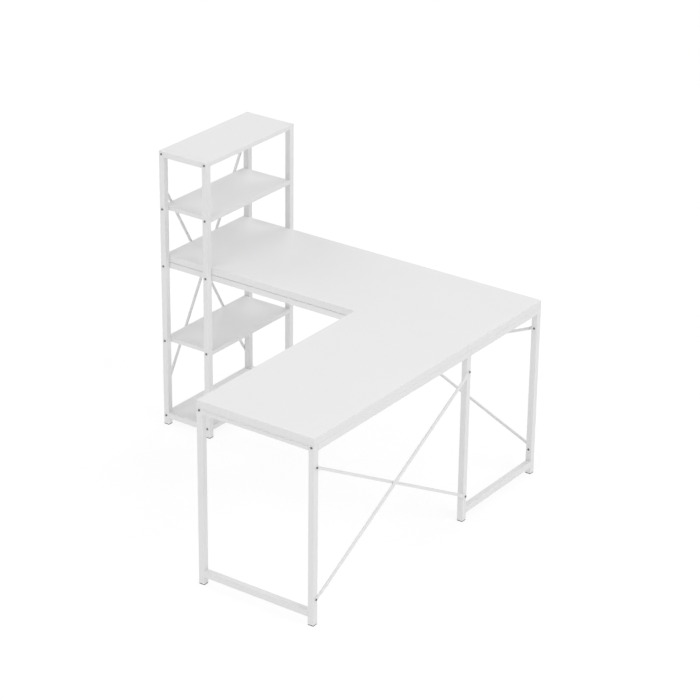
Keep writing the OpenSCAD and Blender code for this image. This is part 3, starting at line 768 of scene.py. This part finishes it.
def screws(name, node):
    """Pan head wood screws, upright, with a cross on the head and a coarse thread."""
    bm = bmesh.new()
    for points in islands(node):
        low, high = corners(points)
        mid, seat = (low + high) / 2, low.z + SCREW_HEAD_H
        base = Vector((mid.x, mid.y, seat))
        length = high.z - seat
        rings = []
        for degrees in (58, 40, 20, 0):
            a = math.radians(degrees)
            z = -SCREW_HEAD_H * (0.25 + 0.75 * math.sin(a))
            rings.append(circle(SCREW_HEAD_R * math.cos(a), z, SCREW_SIDES))
        rings.append(circle(SCREW_HEAD_R, 0, SCREW_SIDES))
        steps = int(length / SCREW_PITCH) * 8
        thread_start = 0.0005
        for k in range(steps + 1):
            rings.append(thread_ring(thread_start + (length - thread_start - SCREW_POINT) * k / steps))
        for r, back in ((0.0011, 0.0025), (0.0002, 0.0)):
            rings.append(circle(r, length - back, SCREW_SIDES))
        skin(bm, [[base + p for p in ring] for ring in rings])
        drive_cross(bm, base + Vector((0, 0, -SCREW_HEAD_H)), random.uniform(0, math.pi / 2))
    return piece(name, bm, [steel_zinc], "frame", node, smooth_angle=45)


def drive_cross(bm, at, turn):
    """The cross of a screw's drive: a star, open below, whose rim stands a little proud of the head's face
    and whose sides narrow upwards into the head."""
    arm_r, flank_r, notch_r = 0.0019, 0.0007, 0.0006
    rim_z, depth, narrowing = 0.00002, 0.0009, 0.6
    star = []
    for k, a in enumerate(around(16)):
        r = (arm_r, flank_r, notch_r, flank_r)[k % 4]
        star.append((r * math.cos(turn + a), r * math.sin(turn + a)))
    lower = [bm.verts.new(at + Vector((x, y, rim_z))) for x, y in star]
    upper = [bm.verts.new(at + Vector((x * narrowing, y * narrowing, depth))) for x, y in star]
    for i in range(len(star)):
        j = (i + 1) % len(star)
        bm.faces.new((lower[i], lower[j], upper[j], upper[i]))
    bm.faces.new(upper)


for bolt_node in ("shelf_bolts", "tower_desk_bolts", "return_rail_bolts", "bracket_bolts", "brace_bolts"):
    bolts(bolt_node + "_turned", bolt_node)
nuts("brace_nuts_turned", "brace_nuts")
screws("top_screws_turned", "top_screws")


# ---------------------------------------------------------------- caps and feet

LID_T, LID_OVERHANG = 0.0015, 0.0013
PAD_T = 0.003
STUD_CREST, STUD_ROOT, STUD_PITCH, STUD_CHAMFER = 0.0040, 0.0034, 0.00125, 0.0008


def cap_outline(width, inset):
    return square_outline(width - 2 * inset, width - 2 * inset, max(0.0005, 0.0015 - inset))


def post_caps():
    """The four caps: a thin lid flush with the rails, with a crisp arris, on a narrower plug."""
    bm = bmesh.new()
    for points in islands("tower_post_caps"):
        low, high = corners(points)
        mid = (low + high) / 2
        lid = high.z - LID_T
        rings = []
        for inset, z in ((LID_OVERHANG, low.z), (LID_OVERHANG, lid), (0.0, lid), (0.0, high.z - 0.0003),
                         (0.0001, high.z - 0.0001), (0.0003, high.z)):
            outline = cap_outline(high.x - low.x, inset)
            rings.append([Vector((mid.x + x, mid.y + y, z)) for x, y, _, _ in outline])
        skin(bm, rings)
    return piece("tower_post_lids", bm, [cap_white], "frame", "tower_post_caps")


def rail_caps():
    """The same for the ends of the two main rails, which face -X."""
    bm = bmesh.new()
    for points in islands("main_rail_caps"):
        low, high = corners(points)
        mid = (low + high) / 2
        lid = low.x + LID_T
        rings = []
        for inset, x in ((LID_OVERHANG, high.x), (LID_OVERHANG, lid), (0.0, lid), (0.0, low.x + 0.0004),
                         (0.00015, low.x + 0.0001), (0.0005, low.x)):
            outline = cap_outline(high.z - low.z, inset)
            rings.append([Vector((x, mid.y + y, mid.z + z)) for y, z, _, _ in outline])
        skin(bm, rings)
    return piece("main_rail_end_lids", bm, [cap_white], "frame", "main_rail_caps")


def add_pad(bm, at, width):
    """A square pad with soft arrises and a hollow sole, its underside centred on `at`."""
    rings = []
    for inset, z in ((0.0040, 0.0005), (0.0022, 0.0005), (0.0019, 0.0), (0.0007, 0.0), (0.0002, 0.0002),
                     (0.0, 0.0006), (0.0, PAD_T - 0.0005), (0.0002, PAD_T - 0.0001), (0.0006, PAD_T),
                     (0.0075, PAD_T)):
        outline = square_outline(width - 2 * inset, width - 2 * inset, max(0.0006, 0.002 - inset * 0.6))
        rings.append([at + Vector((x, y, z)) for x, y, _, _ in outline])
    skin(bm, rings)


def add_sole_ribs(bm, at):
    """Five ribs across the hollow of the sole."""
    size = Vector((0.001, 0.015, 0.0006))
    spacing = 0.0036
    for k in range(-2, 3):
        middle = at + Vector((k * spacing, 0, size.z / 2))
        for v in bmesh.ops.create_cube(bm, size=1.0)["verts"]:
            v.co = middle + v.co * size


def add_stud(bm, at, tip):
    """A threaded stud with a chamfered tip, from the height of `at` up to the height `tip`."""
    rings = []
    steps = int((tip - at.z) / STUD_PITCH * 8)
    for k in range(steps + 1):
        z = at.z + (tip - at.z) * k / steps
        ring = []
        for t in around(28):
            phase = (z / STUD_PITCH - t / (2 * math.pi)) % 1.0
            r = STUD_CREST - (STUD_CREST - STUD_ROOT) * abs(phase - 0.5) * 2
            if tip - z < STUD_CHAMFER:
                r = min(r, STUD_ROOT + (tip - z) * 0.5)
            ring.append(Vector((at.x + r * math.cos(t), at.y + r * math.sin(t), z)))
        rings.append(ring)
    skin(bm, rings)


def foot(node):
    """A levelling foot: a ribbed square pad on a threaded stud."""
    low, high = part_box(node)
    base = Vector(((low.x + high.x) / 2, (low.y + high.y) / 2, low.z))
    bm = bmesh.new()
    add_pad(bm, base, high.x - low.x)
    add_sole_ribs(bm, base)
    add_stud(bm, base + Z * (PAD_T - 0.0002), high.z)
    return piece(node + "_pad", bm, [plastic_black], node, node, smooth_angle=32)


post_caps()
rail_caps()
for foot_node in FEET:
    foot(foot_node)


# ---------------------------------------------------------------- weld beads

BEAD_SIZE, BEAD_MARGIN, BEAD_RIPPLE = 0.0021, 0.0022, 0.0017
# rails with welded ends: the node, the axis it runs along, and which faces have beads (-1 under, 1 over)
WELDED = [
    ("tower_front_top_rail", 0, (-1,)),
    ("tower_back_top_rail", 0, (-1,)),
    ("end_top_rail", 0, (-1,)),
    ("tower_front_bottom_rail", 0, (-1, 1)),
    ("tower_back_bottom_rail", 0, (-1, 1)),
    ("end_bottom_rail", 0, (-1, 1)),
    ("side_top_rail", 1, (-1,)),
    ("side_bottom_rail", 1, (-1, 1)),
]


def bead(bm, start, end, a, b, steps=44):
    """A rippled fillet from start to end in the corner between the faces that a and b point along."""
    length = (end - start).length
    rings = []
    for k in range(steps + 1):
        s = k / steps
        taper = min(1.0, (min(s, 1 - s) * length / BEAD_SIZE) ** 0.5) if 0 < s < 1 else 0.05
        ripple = 0.90 + 0.10 * abs(math.sin(math.pi * s * length / BEAD_RIPPLE)) + random.uniform(-0.02, 0.02)
        r = BEAD_SIZE * taper * ripple
        root = start + (end - start) * s
        rings.append([root - (a + b) * 0.0002]
                     + [root + a * (r * math.cos(t)) + b * (r * math.sin(t)) for t in quarter(6)])
    skin(bm, rings)


def weld_beads():
    """Fillets on the inner corners of the four welded frames."""
    bm = bmesh.new()
    for node, run, faces in WELDED:
        low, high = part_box(node)
        across = 1 - run
        for at_run, inward in ((low[run], 1), (high[run], -1)):
            for face in faces:
                start, stop = low.copy(), high.copy()
                for p in (start, stop):
                    p[run] = at_run
                    p.z = high.z if face > 0 else low.z
                start[across] = low[across] + BEAD_MARGIN
                stop[across] = high[across] - BEAD_MARGIN
                bead(bm, start, stop, (X, Y)[run] * inward, Z * face)
    return piece("weld_beads", bm, [steel_white], "frame", smooth_angle=60)


weld_beads()


# ---------------------------------------------------------------- carried-over CAD nodes

for cad_name, cad_object in frame["nodes"].items():
    cad_object.data.materials.clear()
    cad_object.data.materials.append(SLOT_MATERIALS[NODE_SLOT[cad_name]])


# ---------------------------------------------------------------- floor, light and camera

FLOOR_GLOW = 0.755
FLOOR_HALF_SIZE = 60


def floor():
    m = Nodes("pale floor")
    color = m.mix(m.between(m.noise(0.8, 3, 0.6), 0.3, 0.7), gray(0.24), gray(0.26))
    m.bump((m.noise(60, 3, 0.6), 0.0002))
    material = m.finish(color, m.between(m.noise(9, 3, 0.6), 0.3, 0.7, 0.80, 0.90), specular=0.2)
    m.shader.inputs["Emission Color"].default_value = (1, 1, 1, 1)
    m.shader.inputs["Emission Strength"].default_value = FLOOR_GLOW
    bm = bmesh.new()
    bmesh.ops.create_grid(bm, x_segments=8, y_segments=8, size=FLOOR_HALF_SIZE)
    mesh = bpy.data.meshes.new("floor")
    bm.to_mesh(mesh)
    bm.free()
    mesh.materials.append(material)
    obj = bpy.data.objects.new("floor", mesh)
    obj.location.z = cad_low.z
    bpy.context.scene.collection.objects.link(obj)


def area_light(name, position, target, size, power):
    light = bpy.data.lights.new(name, "AREA")
    light.shape = "DISK"
    light.size = size
    light.energy = power
    obj = bpy.data.objects.new(name, light)
    obj.location = position
    obj.rotation_euler = (target - position).to_track_quat("-Z", "Y").to_euler()
    bpy.context.scene.collection.objects.link(obj)


WORLD_LEVEL = 0.33
LIGHTS = [
    # name, azimuth and elevation in degrees, distance and size in metres, power in watts
    ("overhead", 0, 88, 16.0, 16.0, 48),
    ("right_high", 90, 42, 16.0, 14.0, 956),
    ("front_high", 0, 42, 16.0, 14.0, 778),
    ("left_high", -90, 42, 16.0, 14.0, 652),
    ("back_high", 180, 48, 16.0, 14.0, 744),
]


def studio():
    middle = (cad_low + cad_high) / 2
    for name, azimuth, elevation, distance, size, power in LIGHTS:
        a, e = math.radians(azimuth), math.radians(elevation)
        toward = Vector((math.sin(a) * math.cos(e), -math.cos(a) * math.cos(e), math.sin(e)))
        area_light(name, middle + toward * distance, middle, size, power)
    world = bpy.data.worlds.new("studio")
    world.use_nodes = True
    world.node_tree.nodes["Background"].inputs["Color"].default_value = (1, 1, 1, 1)
    world.node_tree.nodes["Background"].inputs["Strength"].default_value = WORLD_LEVEL
    bpy.context.scene.world = world
    bpy.context.scene.view_settings.view_transform = "Standard"


CAMERA_AT = Vector((5.42775, -7.2197, 4.7980))
CAMERA_ANGLES = (35.168, 24.888, 0.742)  # azimuth, elevation and roll in degrees
CAMERA_LENS = 133.445


def camera():
    azimuth, elevation, roll = (math.radians(a) for a in CAMERA_ANGLES)
    data = bpy.data.cameras.new("camera")
    data.sensor_width = 36
    data.lens = CAMERA_LENS
    data.clip_end = 200
    obj = bpy.data.objects.new("camera", data)
    bpy.context.scene.collection.objects.link(obj)
    back = Vector((math.sin(azimuth) * math.cos(elevation), -math.cos(azimuth) * math.cos(elevation),
                   math.sin(elevation)))
    right = Vector((math.cos(azimuth), math.sin(azimuth), 0))
    up = back.cross(right)
    tilted_right = right * math.cos(roll) + up * math.sin(roll)
    tilted_up = up * math.cos(roll) - right * math.sin(roll)
    turn = Matrix((tilted_right, tilted_up, back)).transposed().to_4x4()
    obj.matrix_world = Matrix.Translation(CAMERA_AT) @ turn
    bpy.context.scene.camera = obj


floor()
studio()
camera()
